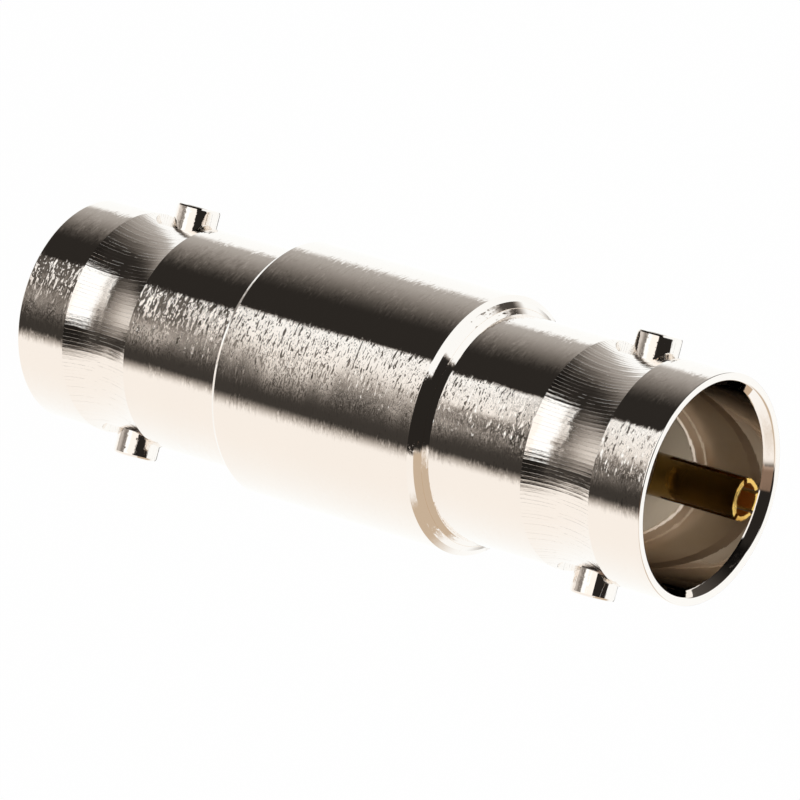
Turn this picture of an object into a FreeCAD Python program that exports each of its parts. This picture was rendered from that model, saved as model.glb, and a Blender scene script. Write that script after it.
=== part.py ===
import FreeCAD, Part
import os
import Sketcher

# Straight jack-to-jack coaxial adapter with bayonet lugs at both ends.
#
# The adapter stands on the mouth of its lower jack, with its axis along +Z and
# the four lugs in the XZ plane. All sizes are in millimetres. Depths are
# measured from the mouth of the jack that they belong to, so the two jacks
# share one set of values and the upper one is built downwards from the top.
#
# Pieces: a turned body that is the lower jack and the thick middle sleeve in
# one, an upper jack pressed into that sleeve, two insulating beads, and one
# double-ended socket contact held between the beads.

SIZES = [
    # name, value, what it is
    ("overall_length", 32.84, "mouth to mouth"),
    ("bore_dia", 8.13, "bore at the bottom of each mouth, the seat of the plug's contact"),
    ("bore_depth", 8.4, "mouth to the reference face"),
    ("entry_dia", 8.45, "wider bore behind the mouth chamfer"),
    ("entry_depth", 5.6, "mouth to the end of the wider bore"),
    ("entry_taper", 0.45, "length of the cone from the wider bore to the seat"),
    ("tube_wall", 0.76, "wall of both jack tubes round the bore"),
    ("bar_step", 0.675, "sleeve and lug tips stand out from the tube by this"),
    ("rim_break", 0.06, "broken outer edge of each mouth"),
    ("rim_width", 0.305, "flat rim of each mouth"),
    ("mouth_chamfer_depth", 0.38, "depth of the mouth chamfer"),
    ("mouth_ease", 0.035, "step in radius left from the chamfer's foot to the wider bore"),
    ("mouth_ease_depth", 0.06, "length of that easing"),
    ("sleeve_start", 11.29, "lower edge of the sleeve, from the lower mouth"),
    ("sleeve_end_depth", 11.2, "upper end of the sleeve's cylinder, from the upper mouth"),
    ("sleeve_break", 0.07, "radial size of the broken lower edge of the sleeve"),
    ("sleeve_break_length", 0.15, "length of that broken edge"),
    ("lip_chamfer", 0.24, "radial size of the flat chamfer at the sleeve end"),
    ("lip_chamfer_height", 0.16, "height of that chamfer"),
    ("lip_cone_height", 0.24, "cone of the lip above the chamfer"),
    ("socket_step", 0.195, "counterbore and pressed tail stand out from the tube by this"),
    ("shoulder_height", 0.195, "cone from the pressed tail to the jack tube"),
    ("floor_gap", 2.47, "back of the lower bead to the counterbore floor"),
    ("tail_lead", 0.25, "lead-in chamfer of the pressed tail"),
    ("tail_wall", 1.12, "wall of the pressed tail round the cavity"),
    ("web_lip", 0.815, "reference web stands in from the bore by this"),
    ("web_thickness", 1.0, "reference web"),
    ("lug_dia", 1.9, "bayonet lug"),
    ("lug_depth", 4.22, "mouth to lug centre"),
    ("lug_chamfer", 0.1, "edge of the lug tip"),
    ("band_width", 3.4, "hollow milled band that carries the lugs"),
    ("band_depth", 0.265, "depth of that band at its middle"),
    ("spot_dia", 3.3, "spot face round each lug"),
    ("spot_floor", 0.325, "metal left between the spot face and the seat bore"),
    ("flange_thickness", 2.1, "bead flange behind the web"),
    ("nose_recess", 0.1, "bead nose below the reference face"),
    ("bead_clearance", 0.02, "radial play between bead and shell"),
    ("contact_dia", 1.8, "contact barrel, also the hole in the beads"),
    ("contact_collar", 0.25, "contact is thicker between the beads, by this a side"),
    ("contact_recess", 3.56, "mouth to contact tip"),
    ("tip_chamfer", 0.08, "outer edge of the contact tip"),
    ("pin_hole_dia", 1.36, "hole for the plug's pin"),
    ("pin_hole_depth", 5.2, "straight part of the pin hole"),
    ("pin_hole_cone", 0.4, "drill point at the end of the pin hole"),
    ("slot_width", 0.2, "slot between two contact fingers"),
    ("slot_length", 3.8, "length of the contact fingers"),
]

# Radii and stations worked out from the sizes above.
BORE = "( bore_dia / 2 )"
ENTRY = "( entry_dia / 2 )"
TUBE = "( bore_dia / 2 + tube_wall )"
BAR = "( bore_dia / 2 + tube_wall + bar_step )"
SOCKET = "( bore_dia / 2 + tube_wall + socket_step )"
CAVITY = "( bore_dia / 2 + tube_wall + socket_step - tail_wall )"
WEB = "( bore_dia / 2 - web_lip )"
SPOT = "( bore_dia / 2 + spot_floor )"
COLLAR = "( contact_dia / 2 + contact_collar )"
SLEEVE_END = "( overall_length - sleeve_end_depth )"
CHAMFER_TOP = "( overall_length - sleeve_end_depth + lip_chamfer_height )"
LIP_TOP = "( overall_length - sleeve_end_depth + lip_chamfer_height + lip_cone_height )"
BEAD_BACK = "( bore_depth + web_thickness + flange_thickness )"
SOCKET_FLOOR = "( bore_depth + web_thickness + flange_thickness + floor_gap )"

LOWER = ("", "+")
UPPER = ("overall_length", "-")

doc = FreeCAD.newDocument("coaxial_adapter")


def make_sheet():
    """Puts the driving sizes in a spreadsheet, one named cell a row."""
    sheet = doc.addObject("Spreadsheet::Sheet", "Sizes")
    for row, (name, value, note) in enumerate(SIZES, start=1):
        sheet.set("A" + str(row), name)
        sheet.set("B" + str(row), str(value))
        sheet.set("C" + str(row), note)
        sheet.setAlias("B" + str(row), name)
    doc.recompute()
    return sheet


SHEET = make_sheet()
NAMES = sorted((name for name, value, note in SIZES), key=len, reverse=True)


def cells(formula):
    """Writes a formula with the sheet's name in front of each size."""
    words = formula.replace("(", " ( ").replace(")", " ) ").split()
    return " ".join("Sizes." + word if word in NAMES else word for word in words)


def number(formula):
    return float(SHEET.evalExpression(cells(formula)))


def at_depth(jack, depth):
    """Height of a point that lies a given depth inside a jack."""
    mouth, sign = jack
    if not mouth:
        return depth
    return mouth + " " + sign + " (" + depth + ")"


def mouth_height(jack):
    return jack[0] or "0"


def bind(sketch, constraint, formula):
    """Adds a dimension to a sketch and ties it to the sheet."""
    index = sketch.addConstraint(constraint)
    sketch.setExpression("Constraints[" + str(index) + "]", cells(formula))
    return index


def origin_plane(body, role):
    for feature in body.Origin.OriginFeatures:
        if feature.Role == role:
            return feature
    raise ValueError("no origin feature " + role)


def new_sketch(body, name, plane="XZ_Plane"):
    sketch = body.newObject("Sketcher::SketchObject", name)
    sketch.AttachmentSupport = [(origin_plane(body, plane), "")]
    sketch.MapMode = "FlatFace"
    return sketch


def pin_vertex(sketch, line, across, along):
    """Fixes the first end of a line at two distances from the origin."""
    if across == "0":
        sketch.addConstraint(Sketcher.Constraint("PointOnObject", line, 1, -2))
    else:
        value = number(across)
        bind(sketch, Sketcher.Constraint("DistanceX", -1, 1, line, 1, value), across)
    if along == "0":
        sketch.addConstraint(Sketcher.Constraint("PointOnObject", line, 1, -1))
    else:
        value = number(along)
        bind(sketch, Sketcher.Constraint("DistanceY", -1, 1, line, 1, value), along)


def closed_profile(sketch, corners):
    """Draws a closed outline through (across, along) corners given as formulas."""
    points = [FreeCAD.Vector(number(x), number(y), 0) for x, y in corners]
    first = sketch.GeometryCount
    count = len(points)
    for i in range(count):
        sketch.addGeometry(Part.LineSegment(points[i], points[(i + 1) % count]), False)
    for i in range(count):
        ends = (first + i, 2, first + (i + 1) % count, 1)
        sketch.addConstraint(Sketcher.Constraint("Coincident", *ends))
    for i, (across, along) in enumerate(corners):
        pin_vertex(sketch, first + i, across, along)


def turn(body, name, corners, kind="PartDesign::Revolution"):
    """Turns a half section about the Z axis, adding material or cutting it."""
    sketch = new_sketch(body, name + "Section")
    closed_profile(sketch, corners)
    feature = body.newObject(kind, name)
    feature.Profile = sketch
    feature.ReferenceAxis = (sketch, ["V_Axis"])
    feature.Angle = 360
    body.Tip = feature
    doc.recompute()
    return feature


def removed(feature, before, what):
    """Makes sure that a cutting feature really took material away."""
    if feature.Shape.Volume > before - 1e-3:
        raise ValueError(what + " removed nothing")


def new_body(label):
    body = doc.addObject("PartDesign::Body", label)
    body.Label = label
    return body


def jack_outline(jack):
    """Outer corners of a jack tube at its mouth."""
    return [
        (TUBE, at_depth(jack, "rim_break")),
        (TUBE + " - rim_break", mouth_height(jack)),
        ("0", mouth_height(jack)),
    ]


def bore_outline(jack):
    """Inner corners of a jack, from its mouth to the bore behind the web."""
    eased = "mouth_chamfer_depth + mouth_ease_depth"
    web_back = "bore_depth + web_thickness"
    return [
        ("0", mouth_height(jack)),
        (TUBE + " - rim_width", mouth_height(jack)),
        (ENTRY + " + mouth_ease", at_depth(jack, "mouth_chamfer_depth")),
        (ENTRY, at_depth(jack, eased)),
        (ENTRY, at_depth(jack, "entry_depth")),
        (BORE, at_depth(jack, "entry_depth + entry_taper")),
        (BORE, at_depth(jack, "bore_depth")),
        (WEB, at_depth(jack, "bore_depth")),
        (WEB, at_depth(jack, web_back)),
        (CAVITY, at_depth(jack, web_back)),
    ]


def milled_band(body, jack):
    """Cuts the hollow band that a round cutter leaves between the lugs."""
    depths = ["lug_depth - band_width / 2", "lug_depth + band_width / 2"]
    if jack is UPPER:
        depths.reverse()
    bottom, top = (at_depth(jack, depth) for depth in depths)
    outside = TUBE + " + band_depth"
    corners = [(TUBE, bottom), (outside, bottom), (outside, top), (TUBE, top)]
    points = [FreeCAD.Vector(number(x), number(y), 0) for x, y in corners]
    deepest = number(TUBE) - number("band_depth")
    middle = FreeCAD.Vector(deepest, number(at_depth(jack, "lug_depth")), 0)
    sketch = new_sketch(body, "BandSection")
    for start, end in zip(points, points[1:]):
        sketch.addGeometry(Part.LineSegment(start, end), False)
    sketch.addGeometry(Part.Arc(points[3], middle, points[0]), False)
    for i in range(4):
        ends = (i, 2, (i + 1) % 4, 1)
        sketch.addConstraint(Sketcher.Constraint("Coincident", *ends))
    for i, (across, along) in enumerate(corners):
        pin_vertex(sketch, i, across, along)
    cutter = "( band_width * band_width / 4 + band_depth * band_depth ) / ( 2 * band_depth )"
    bind(sketch, Sketcher.Constraint("Radius", 3, number(cutter)), cutter)
    before = body.Shape.Volume
    feature = body.newObject("PartDesign::Groove", "MilledBand")
    feature.Profile = sketch
    feature.ReferenceAxis = (sketch, ["V_Axis"])
    feature.Angle = 360
    body.Tip = feature
    doc.recompute()
    removed(feature, before, "milled band")


def spot_faces(body, jack):
    """Mills a round flat on each side of the band, where the lugs stand."""
    sketch = new_sketch(body, "SpotFace", "YZ_Plane")
    sketch.setExpression(".AttachmentOffset.Base.z", cells(SPOT))
    height = at_depth(jack, "lug_depth")
    centre = FreeCAD.Vector(0, number(height), 0)
    circle = Part.Circle(centre, FreeCAD.Vector(0, 0, 1), number("spot_dia / 2"))
    sketch.addGeometry(circle, False)
    sketch.addConstraint(Sketcher.Constraint("PointOnObject", 0, 3, -2))
    up = Sketcher.Constraint("DistanceY", -1, 1, 0, 3, number(height))
    bind(sketch, up, height)
    bind(sketch, Sketcher.Constraint("Diameter", 0, number("spot_dia")), "spot_dia")
    before = body.Shape.Volume
    pocket = body.newObject("PartDesign::Pocket", "SpotFaceCut")
    pocket.Profile = sketch
    pocket.Type = "ThroughAll"
    pocket.Reversed = True
    body.Tip = pocket
    doc.recompute()
    removed(pocket, before, "spot face")
    pattern = body.newObject("PartDesign::PolarPattern", "SpotFacePair")
    pattern.Originals = [pocket]
    pattern.Axis = (origin_plane(body, "Z_Axis"), [""])
    pattern.Angle = 360
    pattern.Occurrences = 2
    body.Tip = pattern
    doc.recompute()
    removed(pattern, pocket.Shape.Volume, "second spot face")


def lugs(body, jack):
    """Adds the pair of round bayonet lugs as one turned pin across the axis."""
    height = at_depth(jack, "lug_depth")
    sketch = new_sketch(body, "LugSection")
    side = height + " + lug_dia / 2"
    side_low = side + " - lug_chamfer"
    corners = [
        (BAR, height),
        (BAR, side_low),
        (BAR + " - lug_chamfer", side),
        ("lug_chamfer - " + BAR, side),
        ("0 - " + BAR, side_low),
        ("0 - " + BAR, height),
    ]
    closed_profile(sketch, corners)
    left = FreeCAD.Vector(-2 * number(BAR), number(height), 0)
    right = FreeCAD.Vector(2 * number(BAR), number(height), 0)
    axis = sketch.addGeometry(Part.LineSegment(left, right), True)
    sketch.addConstraint(Sketcher.Constraint("PointOnObject", 0, 1, axis))
    sketch.addConstraint(Sketcher.Constraint("Symmetric", axis, 1, axis, 2, -2))
    bind(sketch, Sketcher.Constraint("DistanceX", axis, 1, axis, 2, 2 * right.x), "4 * " + BAR)
    pins = body.newObject("PartDesign::Revolution", "Lugs")
    pins.Profile = sketch
    pins.ReferenceAxis = (sketch, ["Axis0"])
    pins.Angle = 360
    body.Tip = pins
    doc.recompute()


def make_sleeve_body():
    """Lower jack and middle sleeve, turned in one piece."""
    body = new_body("sleeve_body")
    jack_side = list(reversed(jack_outline(LOWER)))
    sleeve_side = [
        (TUBE, "sleeve_start"),
        (BAR + " - sleeve_break", "sleeve_start"),
        (BAR, "sleeve_start + sleeve_break_length"),
        (BAR, SLEEVE_END),
        (BAR + " - lip_chamfer", CHAMFER_TOP),
        (SOCKET, LIP_TOP),
        ("0", LIP_TOP),
    ]
    turn(body, "Blank", jack_side + sleeve_side)
    milled_band(body, LOWER)
    spot_faces(body, LOWER)
    lugs(body, LOWER)
    before = body.Shape.Volume
    inside = bore_outline(LOWER) + [
        (CAVITY, SOCKET_FLOOR),
        (SOCKET, SOCKET_FLOOR),
        (SOCKET, LIP_TOP),
        ("0", LIP_TOP),
    ]
    bore = turn(body, "Bore", inside, "PartDesign::Groove")
    removed(bore, before, "bore")
    return body


def make_jack_insert():
    """Upper jack, whose tail is pressed to the floor of the sleeve's socket."""
    body = new_body("jack_insert")
    tail_side = [
        ("0", SOCKET_FLOOR),
        (SOCKET + " - tail_lead", SOCKET_FLOOR),
        (SOCKET, SOCKET_FLOOR + " + tail_lead"),
        (SOCKET, LIP_TOP),
        (TUBE, LIP_TOP + " + shoulder_height"),
    ]
    turn(body, "Blank", tail_side + jack_outline(UPPER))
    milled_band(body, UPPER)
    spot_faces(body, UPPER)
    lugs(body, UPPER)
    before = body.Shape.Volume
    inside = bore_outline(UPPER) + [
        (CAVITY, SOCKET_FLOOR),
        ("0", SOCKET_FLOOR),
    ]
    bore = turn(body, "Bore", inside, "PartDesign::Groove")
    removed(bore, before, "bore")
    return body


def make_bead(label, jack):
    """Insulating bead: a nose through the web and a flange behind it."""
    body = new_body(label)
    nose = at_depth(jack, "bore_depth + nose_recess")
    step = at_depth(jack, "bore_depth + web_thickness")
    back = at_depth(jack, BEAD_BACK)
    section = [
        ("contact_dia / 2", nose),
        (WEB + " - bead_clearance", nose),
        (WEB + " - bead_clearance", step),
        (CAVITY + " - bead_clearance", step),
        (CAVITY + " - bead_clearance", back),
        ("contact_dia / 2", back),
    ]
    turn(body, "Bead", section)
    return body


def contact_fingers(body, jack, end):
    """Drills one end of the contact and slots it into four spring fingers."""
    tip = at_depth(jack, "contact_recess")
    floor = at_depth(jack, "contact_recess + pin_hole_depth")
    point = at_depth(jack, "contact_recess + pin_hole_depth + pin_hole_cone")
    before = body.Shape.Volume
    hole = [
        ("0", tip),
        ("pin_hole_dia / 2", tip),
        ("pin_hole_dia / 2", floor),
        ("0", point),
    ]
    drilled = turn(body, end + "PinHole", hole, "PartDesign::Groove")
    removed(drilled, before, "pin hole")
    root = at_depth(jack, "contact_recess + slot_length")
    sketch = new_sketch(body, end + "SlotSection")
    corners = [
        ("slot_width / 2", tip),
        ("slot_width / 2", root),
        ("0 - slot_width / 2", root),
        ("0 - slot_width / 2", tip),
    ]
    closed_profile(sketch, corners)
    before = body.Shape.Volume
    slot = body.newObject("PartDesign::Pocket", end + "Slot")
    slot.Profile = sketch
    slot.Type = "ThroughAll"
    slot.Midplane = True
    body.Tip = slot
    doc.recompute()
    removed(slot, before, "slot")
    pattern = body.newObject("PartDesign::PolarPattern", end + "Slots")
    pattern.Originals = [slot]
    pattern.Axis = (origin_plane(body, "Z_Axis"), [""])
    pattern.Angle = 90
    pattern.Occurrences = 2
    body.Tip = pattern
    doc.recompute()
    removed(pattern, slot.Shape.Volume, "crossing slot")


def make_contact():
    """Socket contact open at both ends, thicker where it sits between the beads."""
    body = new_body("contact")
    section = [("0", at_depth(LOWER, "contact_recess"))]
    lower_half = [
        ("contact_dia / 2 - tip_chamfer", "contact_recess"),
        ("contact_dia / 2", "contact_recess + tip_chamfer"),
        ("contact_dia / 2", BEAD_BACK),
        (COLLAR, BEAD_BACK),
    ]
    section.extend(lower_half)
    for across, depth in reversed(lower_half):
        section.append((across, at_depth(UPPER, depth)))
    section.append(("0", at_depth(UPPER, "contact_recess")))
    turn(body, "Barrel", section)
    contact_fingers(body, LOWER, "Lower")
    contact_fingers(body, UPPER, "Upper")
    return body


def check(parts):
    """Stops before anything is written if a feature failed or a shape is bad."""
    for item in doc.Objects:
        if "Invalid" in item.State or "Error" in item.State:
            raise ValueError(item.Label + " failed")
    for part in parts:
        if part.Shape.isNull() or not part.Shape.isValid():
            raise ValueError(part.Label + " has a bad shape")
        if len(part.Shape.Solids) != 1:
            raise ValueError(part.Label + " is not one solid")


def main():
    parts = [
        make_sleeve_body(),
        make_jack_insert(),
        make_bead("bead_lower", LOWER),
        make_bead("bead_upper", UPPER),
        make_contact(),
    ]
    for part in parts:
        part.Placement = FreeCAD.Placement()
    doc.recompute()
    check(parts)
    os.makedirs("parts", exist_ok=True)
    for part in parts:
        part.Shape.exportStep("parts/" + part.Label + ".step")
        print(part.Label, round(part.Shape.Volume, 3), part.Shape.BoundBox)


main()
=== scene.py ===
"""Dresses the straight coaxial adapter.

Nickel-plated jacks and sleeve, white beads and a gold socket contact stand on
a white studio ground.
"""

import math
import random

import bmesh
import bpy
from bpy.props import FloatProperty, FloatVectorProperty, IntProperty, PointerProperty
from bpy.types import Operator, Panel, PropertyGroup
from mathutils import Matrix, Vector


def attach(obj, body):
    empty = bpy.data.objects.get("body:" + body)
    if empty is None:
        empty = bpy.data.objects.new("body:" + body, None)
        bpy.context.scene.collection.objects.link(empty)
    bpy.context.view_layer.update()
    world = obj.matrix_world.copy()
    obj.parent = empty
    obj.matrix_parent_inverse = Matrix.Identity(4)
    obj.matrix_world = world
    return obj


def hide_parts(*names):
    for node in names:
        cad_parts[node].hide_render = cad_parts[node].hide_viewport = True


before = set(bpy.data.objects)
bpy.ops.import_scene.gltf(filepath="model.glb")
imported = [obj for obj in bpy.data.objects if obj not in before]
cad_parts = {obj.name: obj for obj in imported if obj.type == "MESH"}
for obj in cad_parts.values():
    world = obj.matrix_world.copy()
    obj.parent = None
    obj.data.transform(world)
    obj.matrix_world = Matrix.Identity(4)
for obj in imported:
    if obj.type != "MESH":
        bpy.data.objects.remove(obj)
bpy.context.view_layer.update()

bl_info = {
    "name": "Coaxial adapter",
    "version": (1, 0, 0),
    "blender": (4, 5, 0),
    "location": "3D View > Sidebar > Adapter",
    "description": "Builds a straight bayonet jack adapter and its studio",
    "category": "Object",
}

MM = 0.001
MM_IN_METRE = 1000.0

# Places of the materials on a shell and on the contact, after the first one
MILLED, RIM, ENTRY, SEAT = 1, 2, 3, 4
FINGERS, HOLE = 1, 2

# Small edges and clearances in millimetres, and one end of a turn in degrees. An
# outline's corner is held by another one beside it on runs longer than HOLD_FROM.
RIM_TURN = 0.15
RIM_TURN_END = -147
ENTRY_TAPER = 0.45
SEAT_CORNER = 0.08
WEB_EDGE = 0.09
SLEEVE_BREAK = 0.07
SLEEVE_BREAK_LENGTH = 0.15
LIP_EDGE = 0.02
TAIL_LEAD = 0.25
BEAD_PLAY = 0.02
NOSE_RECESS = 0.1
NOSE_EDGE = 0.06
HOLE_EDGE = 0.02
DRILL_POINT = 0.4
HOLD = 0.012
HOLD_FROM = 0.3

# Reach of the solids that shape the lugs and the slots, in metres
SPOT_REACH = 0.0052
LUG_ROOT = 0.0042
SLOT_OVERRUN = 0.0005
BLADE_WIDTH = 0.004

# Facets of the milled band, one a degree: each is shifted by a random length between
# two limits, but not in the margin along the band's edges or inside the inner radius,
# all in metres
FACET_COLUMNS = 360
FACET_SEED = 7
FACET_SHIFT = (-0.000004, 0.000001)
FACET_MARGIN = 0.0002
FACET_INNER = 0.0045

# Steps round the beads and the contact, and the angle from which an edge is sharp
SMALL_SEGMENTS = 128
SHARP_ANGLE = 9.0


# Sizes

def length(name, description, value):
    """A size in millimetres, kept in metres."""
    return FloatProperty(
        name=name, description=description, default=value * MM,
        min=0.0, precision=5, subtype="DISTANCE", unit="LENGTH",
    )


class AdapterSizes(PropertyGroup):
    """The adapter's sizes."""

    overall: length("Overall length", "Mouth to mouth", 32.84)
    tube_radius: length("Tube radius", "Outside of both jack tubes", 4.825)
    rim_break: length("Rim break", "Rounded outer edge of each mouth", 0.06)
    rim_radius: length("Rim radius", "Inner edge of the flat rim", 4.6)
    chamfer_radius: length("Chamfer radius", "Foot of the mouth chamfer", 4.26)
    chamfer_depth: length("Chamfer depth", "Depth of the mouth chamfer", 0.38)
    sleeve_radius: length("Sleeve radius", "Outside of the middle sleeve", 5.5)
    sleeve_low: length("Sleeve start", "Lower edge of the sleeve", 11.29)
    sleeve_high: length("Sleeve end", "Upper end of the sleeve's cylinder", 21.64)
    lip_radius: length("Lip radius", "Foot of the sleeve's flat end chamfer", 5.26)
    lip_chamfer: length("Lip chamfer", "Height of that chamfer", 0.16)
    lip_height: length("Lip height", "From the sleeve's cylinder to its lip", 0.40)
    tail_radius: length("Tail radius", "Jack tail where it leaves the sleeve", 5.02)
    socket_floor: length("Socket floor", "Bottom of the sleeve's counterbore", 13.97)
    band_depth: length("Band depth", "Depth of the milled band at its middle", 0.265)
    band_width: length("Band width", "Milled band that carries the lugs", 3.4)
    lug_radius: length("Lug radius", "Half the lug's thickness", 0.95)
    lug_depth: length("Lug depth", "Mouth to lug centre", 4.22)
    lug_chamfer: length("Lug chamfer", "Edge of the lug tip", 0.1)
    spot_radius: length("Spot radius", "Round flat at the foot of a lug", 1.65)
    spot_plane: length("Spot plane", "Round flat from the axis", 4.39)
    entry_radius: length("Entry radius", "Bore behind the mouth chamfer", 4.225)
    entry_depth: length("Entry depth", "End of that bore", 5.6)
    bore_radius: length("Bore radius", "Seat bore of each jack", 4.065)
    bore_depth: length("Bore depth", "Mouth to the reference face", 8.4)
    web_radius: length("Web radius", "Hole in the reference web", 3.25)
    web_thickness: length("Web thickness", "Reference web", 1.0)
    cavity_radius: length("Cavity radius", "Bore behind the web", 3.9)
    bead_back: length("Bead back", "Mouth to the back of the bead", 11.5)
    contact_radius: length("Contact radius", "Contact barrel", 0.9)
    contact_middle: length("Contact middle", "Contact between the beads", 1.15)
    contact_depth: length("Contact depth", "Mouth to contact tip", 3.56)
    pin_hole: length("Pin hole", "Radius of the hole for the pin", 0.68)
    pin_hole_depth: length("Pin hole depth", "Straight part of the pin hole", 5.2)
    slot_width: length("Slot width", "Slot between contact fingers", 0.2)
    slot_length: length("Slot length", "Length of the contact fingers", 3.8)
    segments: IntProperty(
        name="Segments", description="Steps round the turned surfaces",
        default=180, min=48, max=512,
    )


def colour(name, description, value):
    """A colour that a user can change."""
    return FloatVectorProperty(
        name=name, description=description, default=value,
        min=0.0, max=1.0, size=3, subtype="COLOR",
    )


class AdapterFinish(PropertyGroup):
    """The colours of the plating and the beads, and the polish."""

    nickel: colour("Nickel", "Bright nickel plate", (0.965, 0.915, 0.865))
    # Bore: the nickel's base darkened to brown deep inside the jacks, painted shade in the bore
    bore: colour("Bore", "Duller nickel deep inside the jacks", (0.50, 0.42, 0.34))
    gold: colour("Gold", "Gold plate of the contact", (1.0, 0.74, 0.24))
    # Barrel: gold darkened far below the tip's, painted shade on the fingers deep inside the jack
    barrel: colour("Barrel", "Thinner gold along the contact's fingers", (0.27, 0.175, 0.05))
    hole: colour("Pin hole", "Gold inside the contact's hole", (1.0, 0.52, 0.12))
    bead: colour("Bead", "White insulator", (0.90, 0.83, 0.70))
    polish: FloatProperty(
        name="Polish", description="Roughness of the turned nickel",
        default=0.045, min=0.0, max=1.0, subtype="FACTOR",
    )


# Shader maths

class Value:
    """A socket that can be used in Python arithmetic."""

    def __init__(self, tree, socket):
        self.tree = tree
        self.socket = socket

    def worked(self, operation, *items, clamp=False):
        """A Math node on its items, in their order."""
        node = self.tree.nodes.new("ShaderNodeMath")
        node.operation = operation
        node.use_clamp = clamp
        for slot, item in zip(node.inputs, items):
            put(self.tree, slot, item)
        return Value(self.tree, node.outputs[0])

    def math(self, operation, *others, clamp=False):
        """A Math node on this value and what follows it."""
        return self.worked(operation, self, *others, clamp=clamp)

    def __add__(self, other):
        return self.math("ADD", other)

    def __sub__(self, other):
        return self.math("SUBTRACT", other)

    def __mul__(self, other):
        return self.math("MULTIPLY", other)

    def __truediv__(self, other):
        return self.math("DIVIDE", other)

    def __rsub__(self, other):
        return self.worked("SUBTRACT", other, self)

    def __rtruediv__(self, other):
        return self.worked("DIVIDE", other, self)

    __radd__ = __add__
    __rmul__ = __mul__

    def clipped(self):
        """The value held between nought and one."""
        return self.math("ADD", 0.0, clamp=True)

    def at_most(self, other):
        return self.math("MINIMUM", other)

    def at_least(self, other):
        return self.math("MAXIMUM", other)


def put(tree, slot, item):
    """Links a wrapped socket to an input, or sets the input's own value."""
    if isinstance(item, Value):
        tree.links.new(item.socket, slot)
    else:
        slot.default_value = item


class Shader:
    """Makes the nodes of one material or world."""

    def __init__(self, tree):
        self.tree = tree
        tree.nodes.clear()

    def node(self, kind, settings=None, values=None, out=0):
        """A node of a type, its settings first, then its inputs by name or place."""
        made = self.tree.nodes.new(kind)
        for name, value in (settings or {}).items():
            setattr(made, name, value)
        for name, item in (values or {}).items():
            put(self.tree, made.inputs[name], item)
        return Value(self.tree, made.outputs[out]) if made.outputs else None

    def step(self, value, low, high, start=0.0, end=1.0):
        """Goes smoothly from start to end as the value goes from low to high."""
        settings = {"interpolation_type": "SMOOTHSTEP", "clamp": True}
        values = {0: value, 1: low, 2: high, 3: start, 4: end}
        return self.node("ShaderNodeMapRange", settings, values)

    def window(self, value, low, high, soft):
        """One between low and high, nought outside, with soft sides."""
        rise = self.step(value, low - soft, low + soft)
        return rise * self.step(value, high - soft, high + soft, 1.0, 0.0)

    def mix(self, factor, first, second):
        """Mixes two colours."""
        values = {0: factor, 6: first, 7: second}
        return self.node("ShaderNodeMix", {"data_type": "RGBA"}, values, out=2)

    def scaled(self, colour, amount):
        """Makes a colour brighter or darker."""
        return self.node("ShaderNodeVectorMath", {"operation": "SCALE"}, {0: colour, 3: amount})

    def leaning(self, normal, offset):
        """Tips a surface direction by a small offset."""
        moved = self.node("ShaderNodeVectorMath", {"operation": "ADD"}, {0: normal, 1: offset})
        return self.node("ShaderNodeVectorMath", {"operation": "NORMALIZE"}, {0: moved})

    def split(self, vector):
        """The three parts of a vector."""
        first = self.node("ShaderNodeSeparateXYZ", None, {0: vector})
        return [Value(self.tree, out) for out in first.socket.node.outputs]

    def join(self, x, y, z):
        """A vector of three parts."""
        return self.node("ShaderNodeCombineXYZ", None, {0: x, 1: y, 2: z})

    def marks(self, axes, scales, detail=2.0, roughness=0.5):
        """Noise over three axes, each stretched by its own scale."""
        vector = self.join(*(axis * scale for axis, scale in zip(axes, scales)))
        values = {"Vector": vector, "Scale": 1.0, "Detail": detail, "Roughness": roughness}
        return self.node("ShaderNodeTexNoise", None, values)

    def both_ways(self, value, low, high):
        """Goes to one above the high pair of limits, and to minus one below the low pair."""
        return self.step(value, *high) - self.step(value, *low, 1.0, 0.0)

    def bump(self, height, distance, strength=1.0, normal=None):
        """The surface's direction over a height, whose full rise is a distance in metres."""
        values = {"Strength": strength, "Distance": distance, "Height": height}
        if normal is not None:
            values["Normal"] = normal
        return self.node("ShaderNodeBump", None, values)

    def surface(self, values):
        """Ends a material in one principled surface."""
        made = self.node("ShaderNodeBsdfPrincipled", None, values)
        self.node("ShaderNodeOutputMaterial", None, {"Surface": made})

    def metal(self, base, roughness, normal):
        """Ends a material in a metal surface."""
        self.surface({"Base Color": base, "Metallic": 1.0, "Roughness": roughness, "Normal": normal})


def rgba(three):
    """A colour with full alpha, as a socket takes it."""
    return (*three, 1.0)


def toned(three, factors):
    """A colour with each of its parts scaled."""
    return tuple(part * factor for part, factor in zip(three, factors))


def new_material(name):
    """An empty material, and the maker of its nodes."""
    material = bpy.data.materials.new(name)
    material.use_nodes = True
    return material, Shader(material.node_tree)


# Finishes

def turned_coordinates(shader):
    """Angle round the axis, height and distance from the axis, in millimetres."""
    x, y, z = shader.split(shader.node("ShaderNodeTexCoord", out="Object"))
    radius = (x * x + y * y).math("SQRT")
    return y.math("ARCTAN2", x), z * MM_IN_METRE, radius * MM_IN_METRE


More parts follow.
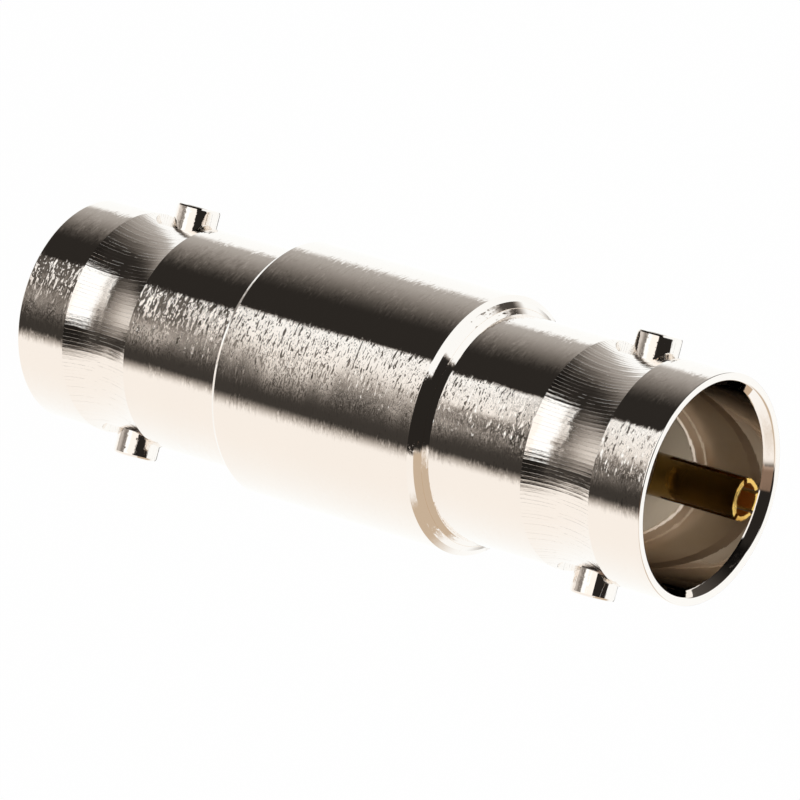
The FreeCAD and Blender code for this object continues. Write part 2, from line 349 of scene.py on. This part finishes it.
def make_nickel(finish, name="nickel_turned", marked=1.0):
    """Bright nickel on a turned surface: a mirror with short marks round the axis."""
    material, shader = new_material(name)
    axes = turned_coordinates(shader)
    wave = shader.marks(axes, (1.2, 0.55, 2.0), 1.0, 0.4)
    strokes = shader.both_ways(shader.marks(axes, (12.0, 8.0, 8.0), 1.0), (0.33, 0.42), (0.57, 0.66))
    grain = shader.both_ways(shader.marks(axes, (40.0, 14.0, 14.0), 1.0), (0.32, 0.42), (0.58, 0.68))
    patch = shader.step(shader.marks(axes, (5.0, 0.9, 2.0), 1.0), 0.36, 0.54, 0.3, 1.0)
    lean = (strokes * 0.055 + grain * 0.040) * patch * marked
    bump = shader.bump(wave, 0.0000045 * marked)
    normal = shader.leaning(bump, shader.join(0.0, 0.0, lean))
    cloud = shader.marks(axes, (2.0, 0.7, 1.0))
    dark = toned(finish.nickel, (0.985, 0.985, 0.985))
    base = shader.mix(wave, rgba(finish.nickel), rgba(dark))
    shader.metal(base, cloud * 0.03 + (finish.polish - 0.025), normal)
    return material


def make_entry_nickel(finish, sizes):
    """Polished plating behind the mouth, a mirror that dulls further down the jack."""
    material, shader = new_material("nickel_entry")
    angle, height, radius = turned_coordinates(shader)
    rings = shader.marks((angle, height, radius), (1.5, 3.0, 3.0))
    depth = height.at_most(sizes.overall / MM - height)
    stain = shader.step(angle.math("SINE"), -0.85, -0.55)
    dull = shader.step(depth, 4.5, 5.0, 0.0, 0.30) * stain
    deep = toned(finish.nickel, (0.95, 0.93, 0.90))
    base = shader.mix(rings, rgba(finish.nickel), rgba(deep))
    shader.metal(base, rings * 0.02 + 0.02 + dull, shader.bump(rings, 0.0000012))
    return material


def make_seat_nickel(finish):
    """Duller nickel deep inside a jack, with rings from the boring tool; its dark brown base is painted
    shade in the bore.
    """
    material, shader = new_material("nickel_seat")
    axes = turned_coordinates(shader)
    rings = shader.marks(axes, (1.5, 9.0, 9.0), 2.0, 0.55)
    stain = shader.marks(axes, (1.6, 0.6, 0.6))
    # Painted shade: the base is the darkened bore colour, varied at random by the stain noise
    deep = toned(finish.bore, (0.90, 0.86, 0.80))
    base = shader.mix(stain, rgba(finish.bore), rgba(deep))
    shader.metal(base, rings * 0.1 + 0.28, shader.bump(rings, 0.000004))
    return material


def make_milled(finish, sizes):
    """Nickel on the milled band: hollow facets that lean a little, with cutter marks."""
    material, shader = new_material("nickel_milled")
    angle, height, radius = turned_coordinates(shader)
    place = angle * (math.degrees(1.0) / 2.0)
    number = place.math("FLOOR")
    chance = shader.node("ShaderNodeTexWhiteNoise", {"noise_dimensions": "1D"}, {"W": number})
    across = place - number - 0.5
    upper = shader.step(height, 15.0, 17.0)
    middle = upper * (sizes.overall - 2.0 * sizes.lug_depth) / MM + sizes.lug_depth / MM
    along = (height - middle) / (sizes.band_width / 2 / MM)
    hollow = across * across * (chance * 0.010 + 0.0005) * (upper * 0.8 + 0.2)
    lean = (chance - 0.5) * along * (upper * 0.045 + 0.030)
    skew = (along - along * along * along / 3.0) * upper * 0.107
    facets = shader.bump(hollow + lean + skew, MM)
    grain = shader.marks((angle, height, radius), (120.0, 1.6, 4.0), 2.0, 0.6)
    grit = shader.marks((angle, height, radius), (40.0, 9.0, 9.0))
    bump = shader.bump(grain * 0.7 + grit * 0.5, 0.000004, normal=facets)
    shader.metal(rgba(finish.nickel), grit * 0.03 + 0.025, bump)
    return material


def make_gold(name, plate, dull=0.04):
    """Gold plate with fine turning marks."""
    material, shader = new_material(name)
    marks = shader.marks(turned_coordinates(shader), (3.0, 16.0, 16.0), 2.0, 0.6)
    deep = toned(plate, (0.93, 0.88, 0.75))
    base = shader.mix(marks, rgba(plate), rgba(deep))
    shader.metal(base, marks * 0.06 + dull, shader.bump(marks, 0.000003))
    return material


def make_bead_white(finish):
    """White insulator with faint rings, and a glow for the light that reaches it through the mouth."""
    material, shader = new_material("bead_white")
    angle, height, radius = turned_coordinates(shader)
    rings = shader.marks((angle, height, radius), (1.0, 5.0, 14.0))
    shade = toned(finish.bead, (0.94, 0.94, 0.94))
    glow = shader.scaled(shade, shader.step(angle.math("COSINE") * radius, -0.5, 2.5))
    shader.surface({
        "Base Color": shader.mix(rings, rgba(finish.bead), rgba(shade)),
        "Roughness": rings * 0.15 + 0.4, "Normal": shader.bump(rings, 0.00001, 0.6),
        "Emission Color": glow, "Emission Strength": 0.16,
    })
    return material


def finish_named(name, maker):
    """The material of that name, made once."""
    return bpy.data.materials.get(name) or maker()


# Meshes

def object_from(name, made):
    """Turns a working mesh into an object of the scene, and frees it."""
    mesh = bpy.data.meshes.new(name)
    made.to_mesh(mesh)
    made.free()
    obj = bpy.data.objects.new(name, mesh)
    bpy.context.scene.collection.objects.link(obj)
    return obj


def ring_of(made, steps, point):
    """A ring of corners, each placed by the cosine and sine of its turn."""
    turns = [2 * math.pi * i / steps for i in range(steps)]
    return [made.verts.new(point(math.cos(turn), math.sin(turn))) for turn in turns]


def bridge(made, first, second):
    """Faces between two rings, either of which may be a single corner."""
    steps = max(len(first), len(second))
    if steps == 1:
        return
    for i in range(steps):
        j = (i + 1) % steps
        if len(first) == 1:
            made.faces.new((first[0], second[j], second[i]))
        elif len(second) == 1:
            made.faces.new((first[i], first[j], second[0]))
        else:
            made.faces.new((first[i], first[j], second[j], second[i]))


def smooth_all(made):
    """Turns every face outwards and shades it smooth."""
    bmesh.ops.recalc_face_normals(made, faces=made.faces)
    for face in made.faces:
        face.smooth = True


def lathe(name, outline, segments):
    """Turns a closed outline about the Z axis into a mesh with sharp corners kept.

    The outline is a list of (radius, height, smooth) corners; smooth is true
    where the surface runs on without a crease.
    """
    made = bmesh.new()
    rings = []
    for radius, height, smooth in outline:
        if radius < 1e-7:
            rings.append([made.verts.new((0, 0, height))])
        else:
            rings.append(ring_of(made, segments, lambda c, s: (radius * c, radius * s, height)))
    for first, second in zip(rings, rings[1:] + rings[:1]):
        bridge(made, first, second)
    smooth_all(made)
    for ring, (radius, height, smooth) in zip(rings, outline):
        if smooth or len(ring) == 1:
            continue
        for start, end in zip(ring, ring[1:] + ring[:1]):
            edge = made.edges.get((start, end))
            if edge:
                edge.smooth = False
    return object_from(name, made)


def arc(centre, radius, start, end, steps):
    """Points on a small rounding, as smooth outline corners."""
    points = []
    for i in range(steps + 1):
        turn = math.radians(start + (end - start) * i / steps)
        x = centre[0] + radius * math.cos(turn)
        z = centre[1] + radius * math.sin(turn)
        points.append((x, z, True))
    return points


def held(outline):
    """Adds a corner beside each smooth one, so that long straight runs stay straight."""
    result = []
    count = len(outline)
    for k, (r, z, smooth) in enumerate(outline):
        result.append((r, z, smooth))
        r2, z2, smooth2 = outline[(k + 1) % count]
        run = math.hypot(r2 - r, z2 - z)
        if run < HOLD_FROM:
            continue
        if smooth:
            t = HOLD / run
            result.append((r + (r2 - r) * t, z + (z2 - z) * t, True))
        if smooth2:
            t = 1 - HOLD / run
            result.append((r + (r2 - r) * t, z + (z2 - z) * t, True))
    return result


def turned_piece(name, outline, segments):
    """Turns an outline in millimetres."""
    corners = [(r * MM, z * MM, smooth) for r, z, smooth in held(outline)]
    return lathe(name, corners, segments)


def combine(piece, tool, operation):
    """Takes the tool's solid out of a piece, or joins it on, and removes the tool."""
    change = piece.modifiers.new("combine", "BOOLEAN")
    change.operation = operation
    change.solver = "EXACT"
    change.object = tool
    bake_modifiers(piece)
    bpy.data.objects.remove(tool)


def bake_modifiers(piece):
    """Keeps the mesh that a piece's modifiers make."""
    graph = bpy.context.evaluated_depsgraph_get()
    mesh = bpy.data.meshes.new_from_object(piece.evaluated_get(graph))
    piece.modifiers.clear()
    old = piece.data
    piece.data = mesh
    bpy.data.meshes.remove(old)


def crease(piece):
    """Marks each edge sharp where its two faces meet at more than the sharp angle."""
    made = bmesh.new()
    made.from_mesh(piece.data)
    limit = math.radians(SHARP_ANGLE)
    for edge in made.edges:
        if len(edge.link_faces) == 2:
            edge.smooth = edge.calc_face_angle(0.0) < limit
    made.to_mesh(piece.data)
    made.free()


def finished(piece, node, slot_name, *materials):
    """Sets the materials, and lets the piece stand for its node."""
    for material in materials:
        piece.data.materials.append(material)
    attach(piece, "root")
    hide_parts(node)
    return piece


# Jacks

def mouth_outline(sizes):
    """Outside and inside corners of a mouth that looks down, in millimetres."""
    tube, edge = sizes.tube_radius / MM, sizes.rim_break / MM
    rim, foot = sizes.rim_radius / MM, sizes.chamfer_radius / MM
    depth, entry = sizes.chamfer_depth / MM, sizes.entry_radius / MM
    taper, bore = sizes.entry_depth / MM, sizes.bore_radius / MM
    seat, web = sizes.bore_depth / MM, sizes.web_radius / MM
    back = (sizes.bore_depth + sizes.web_thickness) / MM
    outside = arc((tube - edge, edge), edge, 0, -90, 12)
    flat = arc((rim, RIM_TURN), RIM_TURN, -90, RIM_TURN_END, 8)
    inside = [(foot + 0.006, depth - 0.01, True), (foot - 0.006, depth + 0.008, True)]
    inside += [(foot - 0.022, depth + 0.035, True), (entry, depth + 0.06, True)]
    inside += [(entry, taper, True), (bore, taper + ENTRY_TAPER, True)]
    inside += [(bore, seat - SEAT_CORNER, False), (bore - SEAT_CORNER, seat, False)]
    inside += [(web + WEB_EDGE, seat, False), (web, seat + WEB_EDGE, False), (web, back, False)]
    inside.append((sizes.cavity_radius / MM, back, False))
    return outside + flat + inside


def band_corners(sizes):
    """Hollow outline of the milled band, from the sleeve's side to the mouth."""
    half, depth = sizes.band_width / MM / 2, sizes.band_depth / MM
    middle, tube = sizes.lug_depth / MM, sizes.tube_radius / MM
    cutter = (half * half + depth * depth) / (2 * depth)
    steps = 16
    points = []
    for i in range(steps + 1):
        across = half * (1 - 2 * i / steps)
        radius = tube - depth + cutter - math.sqrt(cutter * cutter - across * across)
        points.append((radius, middle + across, 0 < i < steps))
    return points


def mill_band(piece, sizes, depth):
    """Gives the band flat facets round the axis that lean a little, and its own material."""
    low = depth - sizes.band_width / 2
    high = depth + sizes.band_width / 2
    inner = sizes.tube_radius - sizes.band_depth - 0.00008
    outer = sizes.tube_radius - 0.000002
    made = bmesh.new()
    made.from_mesh(piece.data)
    for face in made.faces:
        c = face.calc_center_median()
        if not (low < c.z < high and inner < math.hypot(c.x, c.y) < outer):
            continue
        face.material_index = MILLED
        for edge in face.edges:
            run = edge.verts[1].co - edge.verts[0].co
            if abs(run.z) > 0.5 * run.length:
                edge.smooth = False
    chance = random.Random(FACET_SEED)
    shifts = [chance.uniform(*FACET_SHIFT) for column in range(FACET_COLUMNS)]
    for vert in made.verts:
        around = math.hypot(vert.co.x, vert.co.y)
        inside = low + FACET_MARGIN < vert.co.z < high - FACET_MARGIN
        if inside and FACET_INNER < around < outer:
            column = round(math.degrees(math.atan2(vert.co.y, vert.co.x))) % FACET_COLUMNS
            grown = 1 + shifts[column] / around
            vert.co.x, vert.co.y = vert.co.x * grown, vert.co.y * grown
    made.to_mesh(piece.data)
    made.free()


def round_bar(name, radius, start, end, depth, side, chamfer=0.0, rounds=64):
    """A short bar along X on one side of the axis, for a lug or a cutter."""
    made = bmesh.new()
    stations = [(0.0, start), (radius, start), (radius, end - chamfer)]
    if chamfer:
        stations.append((radius - chamfer * 0.35, end - chamfer * 0.3))
        stations.append((radius - chamfer, end))
    stations.append((0.0, end))
    rings = []
    for across, along in stations:
        x = side * along
        if across == 0.0:
            rings.append([made.verts.new((x, 0, depth))])
        else:
            rings.append(ring_of(made, rounds, lambda c, s: (x, across * c, depth + across * s)))
    for first, second in zip(rings, rings[1:]):
        bridge(made, first, second)
    smooth_all(made)
    return object_from(name, made)


def line_mouth(piece, sizes, mouth, inward):
    """Gives the rim and chamfer of a jack, its bore and its seat their finishes.

    Each limit lies up to 0.09 mm off the surface that it is for, so that the
    surface's own faces and small edges stay on their side of it.
    """
    tube_wall = sizes.tube_radius - 0.000001
    chamfer_end = sizes.chamfer_depth + 0.00003
    entry_wall = sizes.entry_radius + 0.00003
    taper_start = sizes.entry_depth + 0.00002
    seat_wall = sizes.bore_radius - 0.00009
    for face in piece.data.polygons:
        around = math.hypot(face.center.x, face.center.y)
        depth = (face.center.z - mouth) * inward
        if around > tube_wall or depth < -0.00001:
            continue
        if depth < chamfer_end:
            face.material_index = RIM
        elif around < entry_wall:
            seat = depth > taper_start and around > seat_wall
            face.material_index = SEAT if seat else ENTRY


def jack_details(piece, sizes, depth):
    """Spot faces and lugs on both sides of one jack."""
    for side in (1, -1):
        cutter = round_bar("cutter", sizes.spot_radius, sizes.spot_plane, SPOT_REACH, depth, side)
        combine(piece, cutter, "DIFFERENCE")
    for side in (1, -1):
        tip, edge = sizes.sleeve_radius, sizes.lug_chamfer
        lug = round_bar("lug", sizes.lug_radius, LUG_ROOT, tip, depth, side, edge)
        combine(piece, lug, "UNION")
    crease(piece)


def make_sleeve_body(sizes):
    """Lower jack and middle sleeve in one piece."""
    sleeve, tube = sizes.sleeve_radius / MM, sizes.tube_radius / MM
    low, high = sizes.sleeve_low / MM, sizes.sleeve_high / MM
    lip, tail = sizes.lip_radius / MM, sizes.tail_radius / MM
    floor = sizes.socket_floor / MM
    top = high + sizes.lip_height / MM
    outside = [
        (tail, floor, False), (tail, top - LIP_EDGE, False), (tail + LIP_EDGE, top, False),
        (lip, high + sizes.lip_chamfer / MM, False), (sleeve, high, False),
        (sleeve, low + SLEEVE_BREAK_LENGTH, False), (sleeve - SLEEVE_BREAK, low, False),
        (tube, low, False),
    ]
    outline = outside + band_corners(sizes) + mouth_outline(sizes)
    outline.append((sizes.cavity_radius / MM, floor, False))
    piece = turned_piece("sleeve_body_dressed", outline, sizes.segments)
    jack_details(piece, sizes, sizes.lug_depth)
    return piece


def make_jack_insert(sizes):
    """Upper jack, with the tail that is pressed into the sleeve."""
    top = sizes.overall / MM
    tail, tube = sizes.tail_radius / MM, sizes.tube_radius / MM
    high = (sizes.sleeve_high + sizes.lip_height) / MM + tail
    floor = sizes.socket_floor / MM
    outline = [
        (tail - TAIL_LEAD, floor, False), (tail, floor + TAIL_LEAD, False),
        (tail, high - tail, False), (tube, high - tube, False),
    ]
    jack = band_corners(sizes) + mouth_outline(sizes)
    outline += [(r, top - z, smooth) for r, z, smooth in jack]
    outline.append((sizes.cavity_radius / MM, floor, False))
    piece = turned_piece("jack_insert_dressed", outline, sizes.segments)
    jack_details(piece, sizes, sizes.overall - sizes.lug_depth)
    return piece


def sizes_of(context):
    """The sizes that the scene holds."""
    return context.scene.adapter_sizes


def finish_of(context):
    """The colours and polish that the scene holds."""
    return context.scene.adapter_finish


def shell_nickels(sizes, finish):
    """The shells' nickels in the order of their places: turned, milled, rim, entry and seat."""
    turned = finish_named("nickel_turned", lambda: make_nickel(finish))
    milled = finish_named("nickel_milled", lambda: make_milled(finish, sizes))
    entry = finish_named("nickel_entry", lambda: make_entry_nickel(finish, sizes))
    seat = finish_named("nickel_seat", lambda: make_seat_nickel(finish))
    rim = finish_named("nickel_rim", lambda: make_nickel(finish, "nickel_rim", 0.15))
    return turned, milled, rim, entry, seat


def dress_shell(piece, node, context, mouth, inward):
    """Finishes a shell: inward is 1 where its mouth looks down, and -1 where it looks up."""
    sizes = sizes_of(context)
    finished(piece, node, "nickel_plate", *shell_nickels(sizes, finish_of(context)))
    line_mouth(piece, sizes, mouth, inward)
    mill_band(piece, sizes, mouth + inward * sizes.lug_depth)


class ADAPTER_OT_sleeve_body(Operator):
    """Builds the lower jack and the thick middle sleeve."""

    bl_idname = "adapter.sleeve_body"
    bl_label = "Sleeve body"

    def execute(self, context):
        piece = make_sleeve_body(sizes_of(context))
        dress_shell(piece, "sleeve_body", context, 0.0, 1)
        return {"FINISHED"}


class ADAPTER_OT_jack_insert(Operator):
    """Builds the upper jack that is pressed into the sleeve."""

    bl_idname = "adapter.jack_insert"
    bl_label = "Jack insert"

    def execute(self, context):
        sizes = sizes_of(context)
        dress_shell(make_jack_insert(sizes), "jack_insert", context, sizes.overall, -1)
        return {"FINISHED"}


def make_bead(sizes, name, upper):
    """Bead with a nose in the web and a flange behind it."""
    nose = sizes.bore_depth / MM + NOSE_RECESS
    step = (sizes.bore_depth + sizes.web_thickness) / MM
    back = sizes.bead_back / MM
    hole, web = sizes.contact_radius / MM, sizes.web_radius / MM - BEAD_PLAY
    cavity = sizes.cavity_radius / MM - BEAD_PLAY
    outline = [
        (hole, nose, False), (web - NOSE_EDGE, nose, False), (web, nose + NOSE_EDGE, False),
        (web, step, False), (cavity, step, False), (cavity, back, False), (hole, back, False),
    ]
    if upper:
        outline = [(r, sizes.overall / MM - z, smooth) for r, z, smooth in outline]
    return turned_piece(name, outline, SMALL_SEGMENTS)


class ADAPTER_OT_beads(Operator):
    """Builds the two white insulating beads."""

    bl_idname = "adapter.beads"
    bl_label = "Insulating beads"

    def execute(self, context):
        sizes, finish = sizes_of(context), finish_of(context)
        white = finish_named("bead_white", lambda: make_bead_white(finish))
        for node, upper in (("bead_lower", False), ("bead_upper", True)):
            piece = make_bead(sizes, node + "_dressed", upper)
            finished(piece, node, "insulator", white)
        return {"FINISHED"}


def make_contact(sizes):
    """Double-ended socket contact with four fingers at each end."""
    top = sizes.overall / MM
    tip, barrel = sizes.contact_depth / MM, sizes.contact_radius / MM
    hole, back = sizes.pin_hole / MM, sizes.bead_back / MM
    floor = tip + sizes.pin_hole_depth / MM
    end = [
        (0.0, floor + DRILL_POINT, False), (hole, floor, False), (hole, tip + HOLE_EDGE, False),
        (hole + HOLE_EDGE, tip, False), (barrel - 0.04, tip, False),
        (barrel - 0.012, tip + 0.016, True), (barrel, tip + 0.045, True), (barrel, back, False),
        (sizes.contact_middle / MM, back, False),
    ]
    outline = end + [(r, top - z, smooth) for r, z, smooth in reversed(end)]
    piece = turned_piece("contact_dressed", outline, SMALL_SEGMENTS)
    lowest = sizes.contact_depth - SLOT_OVERRUN
    for low in (lowest, sizes.overall - sizes.contact_depth - sizes.slot_length):
        high = low + sizes.slot_length + SLOT_OVERRUN
        for turn in (45.0, 135.0):
            combine(piece, slot_blade(sizes.slot_width, low, high, turn), "DIFFERENCE")
    crease(piece)
    return piece


def slot_blade(width, low, high, degrees):
    """A thin plate through the axis, to cut one slot."""
    made = bmesh.new()
    bmesh.ops.create_cube(made, size=1.0)
    size = Matrix.Diagonal((BLADE_WIDTH, width, high - low, 1.0))
    place = Matrix.Translation((0, 0, (low + high) / 2))
    turn = Matrix.Rotation(math.radians(degrees), 4, "Z")
    bmesh.ops.transform(made, matrix=turn @ place @ size, verts=made.verts)
    return object_from("blade", made)


class ADAPTER_OT_contact(Operator):
    """Builds the gold socket contact."""

    bl_idname = "adapter.contact"
    bl_label = "Contact"

    def execute(self, context):
        sizes, finish = sizes_of(context), finish_of(context)
        tip = finish_named("gold_tip", lambda: make_gold("gold_tip", finish.gold))
        # The fingers' gold is painted shade: much darker than the tip's gold
        fingers = finish_named("gold_fingers", lambda: make_gold("gold_fingers", finish.barrel))
        hole = finish_named("gold_hole", lambda: make_gold("gold_hole", finish.hole, 0.4))
        piece = finished(make_contact(sizes), "contact", "gold_plate", tip, fingers, hole)
        outer_wall, hole_wall = sizes.contact_radius - 0.00001, sizes.pin_hole + 0.00002
        for face in piece.data.polygons:
            if abs(face.normal.z) > 0.3:
                continue
            around = math.hypot(face.center.x, face.center.y)
            if around > outer_wall:
                face.material_index = FINGERS
            elif around < hole_wall:
                face.material_index = HOLE
        return {"FINISHED"}


# Studio

CAMERA_PLACE = Vector((9.9082, 216.329, 171.3571)) * MM
CAMERA_RIGHT = Vector((0.253201, -0.569731, 0.781854))
CAMERA_UP = Vector((0.966693, 0.117824, -0.227203))
CAMERA_LENS = 288.47
SENSOR_WIDTH = 36.0
SHOT_AZIMUTH = 87.38

# Tints of the studio's light: white walls, cream and tan on the lower side, dim
# flags and their brown patch, and the plain white behind the part
WHITE_TINT = (1.02, 1.05, 1.06, 1.0)
CREAM_TINT = (0.98, 0.94, 0.895, 1.0)
TAN_TINT = (0.594, 0.474, 0.353, 1.0)
DIM_TINT = (0.95, 0.832, 0.725, 1.0)
BROWN_TINT = (0.94, 0.532, 0.296, 1.0)
PLAIN_WHITE = (1.0, 1.0, 1.0, 1.0)

FLOOR_RADIUS = 1.2
FLOOR_DROP = 0.00002


def make_camera():
    """Stands the camera where the photograph was taken from."""
    data = bpy.data.cameras.new("camera")
    data.lens = CAMERA_LENS
    data.sensor_width = SENSOR_WIDTH
    data.clip_start, data.clip_end = 0.005, 50.0
    camera = bpy.data.objects.new("camera", data)
    back = CAMERA_RIGHT.cross(CAMERA_UP).normalized()
    up = back.cross(CAMERA_RIGHT).normalized()
    turn = Matrix((CAMERA_RIGHT.normalized(), up, back)).transposed()
    camera.matrix_world = Matrix.Translation(CAMERA_PLACE) @ turn.to_4x4()
    bpy.context.scene.collection.objects.link(camera)
    bpy.context.scene.camera = camera


def studio_walls(shader, around, height):
    """White walls on both sides and behind, and white straight below, as a mask."""
    drop = (height * -1.0 - 0.75).at_least(0.0) * 80.0
    left = shader.step(around + drop, -51.0, -35.5, 1.0, 0.0)
    right = shader.step(around - shader.step(height, -0.25, 0.05, 0.0, 12.0), 118.0, 130.0)
    over = (around - 42.0).at_least(0.0) * -0.0042 + 0.60
    right = right.at_least(shader.step(height - over, -0.03, 0.05) * shader.step(around, 50.0, 57.0))
    return (left + right).clipped().at_least(shader.step(height, -0.99, -0.975, 1.0, 0.0))


def studio_flags(shader, around, height, brown):
    """Level of the dark flags beside the card, and of the lighter ground under them."""
    near = shader.step(height, -0.55, -0.25, 0.045, 0.016)
    far = shader.step(around, 66.0, 124.0, 0.026, 0.46)
    far = far * shader.step(height, -0.35, 0.1, 1.0, 0.16)
    flags = near * shader.step(around, 38.0, 42.0, 1.0, 0.0) + far * shader.step(around, 38.0, 42.0)
    ground = shader.step(around, -38.0, 2.0) * shader.step(around, 0.0, 60.0, 1.0, 0.0)
    ground = ground * shader.step(height, -0.67, -0.64, 1.0, 0.0)
    ground = ground * shader.step(height, -0.96, -0.64, 0.80, 0.26)
    return flags.at_least(brown * 0.26).at_least(ground)


def studio_card(shader, around, height):
    """Level of the pale card in front, under the camera: it fades towards the lower side.

    It ends in a ragged edge, and has a dim foot, a slanted notch and two dim slots.
    """
    ragged = (height * 314.0).math("SINE") * 10.0
    fade = shader.step(around + ragged, -22.0, 16.0, 0.05, 1.0)
    firm = shader.window(around, -14.0, 60.0, 1.6)
    card = fade + (firm * 1.1 - fade) * shader.step(height, -0.50, -0.40)
    foot = shader.step(around, -14.0, 14.0, 1.0, 0.14)
    foot = foot * shader.step(height, -0.64, -0.615, 0.7, 1.0)
    card = card * (foot + (1.0 - foot) * shader.step(height, -0.608, -0.604))
    notch = shader.window(around + height * 300.0 + 171.0, -9.0, 8.0, 4.0)
    notch = notch * shader.window(height, -0.578, -0.545, 0.004)
    card = card * (1.0 - notch * 0.74)
    slot = shader.window(height, -0.564, -0.556, 0.003) + shader.window(height, -0.535, -0.52, 0.004)
    card = card * (1.0 - slot * shader.step(height, -0.50, -0.49, 0.75, 0.0))
    card = card * shader.step(around + ragged * 0.12, 38.6, 41.0, 1.0, 0.0)
    return card * shader.step(height, 0.47, 0.53, 1.0, 0.0) * shader.step(height, -0.68, -0.64)


def studio_hood(shader, around, height):
    """Dark above the camera, up to the ceiling, as a mask."""
    spread = shader.step(height, 0.80, 0.93, -44.0, -74.0)
    hood = shader.step(around - spread, -4.0, 4.0) * shader.step(around, 50.0, 57.0, 1.0, 0.0)
    hood = hood * shader.step(height, 0.50, 0.56)
    return hood.at_least(shader.step(height, 0.965, 0.985))


def studio_dusk(shader, around, height):
    """A dim band behind the part, a little under eye level, as a mask."""
    behind = shader.step(around, -175.0, -150.0, 1.0, 0.0) + shader.step(around, 150.0, 175.0)
    return (behind * shader.window(height, -0.36, -0.14, 0.05)).clipped()


def studio_tint(shader, around, height):
    """Tan wall high on the lower side, with cream under it, and white elsewhere."""
    cream = shader.step(around, -165.0, -70.0) * shader.step(around, 0.0, 60.0, 1.0, 0.0)
    cream = cream * (1.0 - shader.window(height, -0.47, -0.1, 0.03) * shader.step(around, -30.0, -14.0))
    tan = shader.step(around, -150.0, -128.0) * shader.step(around, -46.0, -38.0, 1.0, 0.0)
    low_edge = (around + 50.0) * 0.0051 + 0.57
    tan = tan * shader.step(height - low_edge, -0.05, 0.05) * shader.step(height, 0.70, 0.80, 1.0, 0.0)
    return shader.mix(tan, shader.mix(cream, WHITE_TINT, CREAM_TINT), TAN_TINT)


def make_world():
    """White studio with dark flags and a white card in front, as the plating shows them.

    Around is the angle from the camera's side, positive above the part in
    the picture. Height is the direction's rise, from -1 to 1.
    """
    world = bpy.data.worlds.new("studio")
    world.use_nodes = True
    bpy.context.scene.world = world
    shader = Shader(world.node_tree)
    x, y, height = shader.split(shader.node("ShaderNodeTexCoord", out="Generated"))
    turn = math.radians(SHOT_AZIMUTH)
    towards = x * math.cos(turn) + y * math.sin(turn)
    across = x * math.sin(turn) - y * math.cos(turn)
    around = across.math("ARCTAN2", towards) * math.degrees(1.0)

    brown = shader.window(around, -42.0, -15.0, 2.0) * shader.window(height, 0.12, 0.63, 0.05)
    walls = studio_walls(shader, around, height)
    flags = studio_flags(shader, around, height, brown)
    hood = studio_hood(shader, around, height) * (1.0 - brown)
    level = (flags * (1.0 - walls) + walls) * (1.0 - hood) + hood * 0.022
    level = level * (1.0 - studio_dusk(shader, around, height) * 0.88)
    level = level.at_least(studio_card(shader, around, height))

    dim = shader.mix(brown, DIM_TINT, BROWN_TINT)
    tint = studio_tint(shader, around, height)
    shade = shader.scaled(shader.mix(level, dim, tint), level)
    seen = shader.node("ShaderNodeLightPath", out="Is Camera Ray")
    studio = shader.node("ShaderNodeBackground", None, {"Color": shade, "Strength": 1.0})
    plain = shader.node("ShaderNodeBackground", None, {"Color": PLAIN_WHITE, "Strength": 1.0})
    joined = shader.node("ShaderNodeMixShader", None, {0: seen, 1: studio, 2: plain})
    shader.node("ShaderNodeOutputWorld", None, {"Surface": joined})


def make_floor():
    """A plain white ground that the plating's reflections pass through."""
    made = bmesh.new()
    bmesh.ops.create_circle(made, cap_ends=True, radius=FLOOR_RADIUS, segments=64)
    floor = object_from("floor", made)
    floor.location.z = -FLOOR_DROP
    material, shader = new_material("floor_white")
    glow = shader.node("ShaderNodeEmission", None, {"Color": PLAIN_WHITE, "Strength": 1.0})
    cloth = shader.node("ShaderNodeBsdfDiffuse", None, {"Color": (0.9, 0.9, 0.9, 1.0)})
    ground = shader.node("ShaderNodeMixShader", None, {0: 0.99, 1: cloth, 2: glow})
    seen = shader.node("ShaderNodeLightPath", out="Is Camera Ray")
    clear = shader.node("ShaderNodeBsdfTransparent", None, {"Color": PLAIN_WHITE})
    surface = shader.node("ShaderNodeMixShader", None, {0: seen, 1: clear, 2: ground})
    shader.node("ShaderNodeOutputMaterial", None, {"Surface": surface})
    floor.data.materials.append(material)


class ADAPTER_OT_stage(Operator):
    """Sets up the camera, the studio's light and the white ground."""

    bl_idname = "adapter.stage"
    bl_label = "Studio"

    def execute(self, context):
        make_camera()
        make_world()
        make_floor()
        context.scene.view_settings.view_transform = "Standard"
        return {"FINISHED"}


# Add-on

class ADAPTER_PT_panel(Panel):
    """Lists the sizes, the finish and the operators."""

    bl_idname = "ADAPTER_PT_panel"
    bl_label = "Coaxial adapter"
    bl_space_type = "VIEW_3D"
    bl_region_type = "UI"
    bl_category = "Adapter"

    def draw(self, context):
        for group in (sizes_of(context), finish_of(context)):
            box = self.layout.box()
            for name in group.__annotations__:
                box.prop(group, name)
        for operator in OPERATORS:
            self.layout.operator(operator.bl_idname)


OPERATORS = (
    ADAPTER_OT_sleeve_body,
    ADAPTER_OT_jack_insert,
    ADAPTER_OT_beads,
    ADAPTER_OT_contact,
    ADAPTER_OT_stage,
)
CLASSES = (AdapterSizes, AdapterFinish, *OPERATORS, ADAPTER_PT_panel)


def register():
    """Adds the classes and their settings to Blender."""
    for item in CLASSES:
        bpy.utils.register_class(item)
    bpy.types.Scene.adapter_sizes = PointerProperty(type=AdapterSizes)
    bpy.types.Scene.adapter_finish = PointerProperty(type=AdapterFinish)


def unregister():
    """Takes the settings and the classes out again."""
    del bpy.types.Scene.adapter_finish
    del bpy.types.Scene.adapter_sizes
    for item in reversed(CLASSES):
        bpy.utils.unregister_class(item)


def main():
    """Builds every piece and the studio."""
    register()
    bpy.ops.adapter.sleeve_body()
    bpy.ops.adapter.jack_insert()
    bpy.ops.adapter.beads()
    bpy.ops.adapter.contact()
    bpy.ops.adapter.stage()


if __name__ == "__main__":
    main()
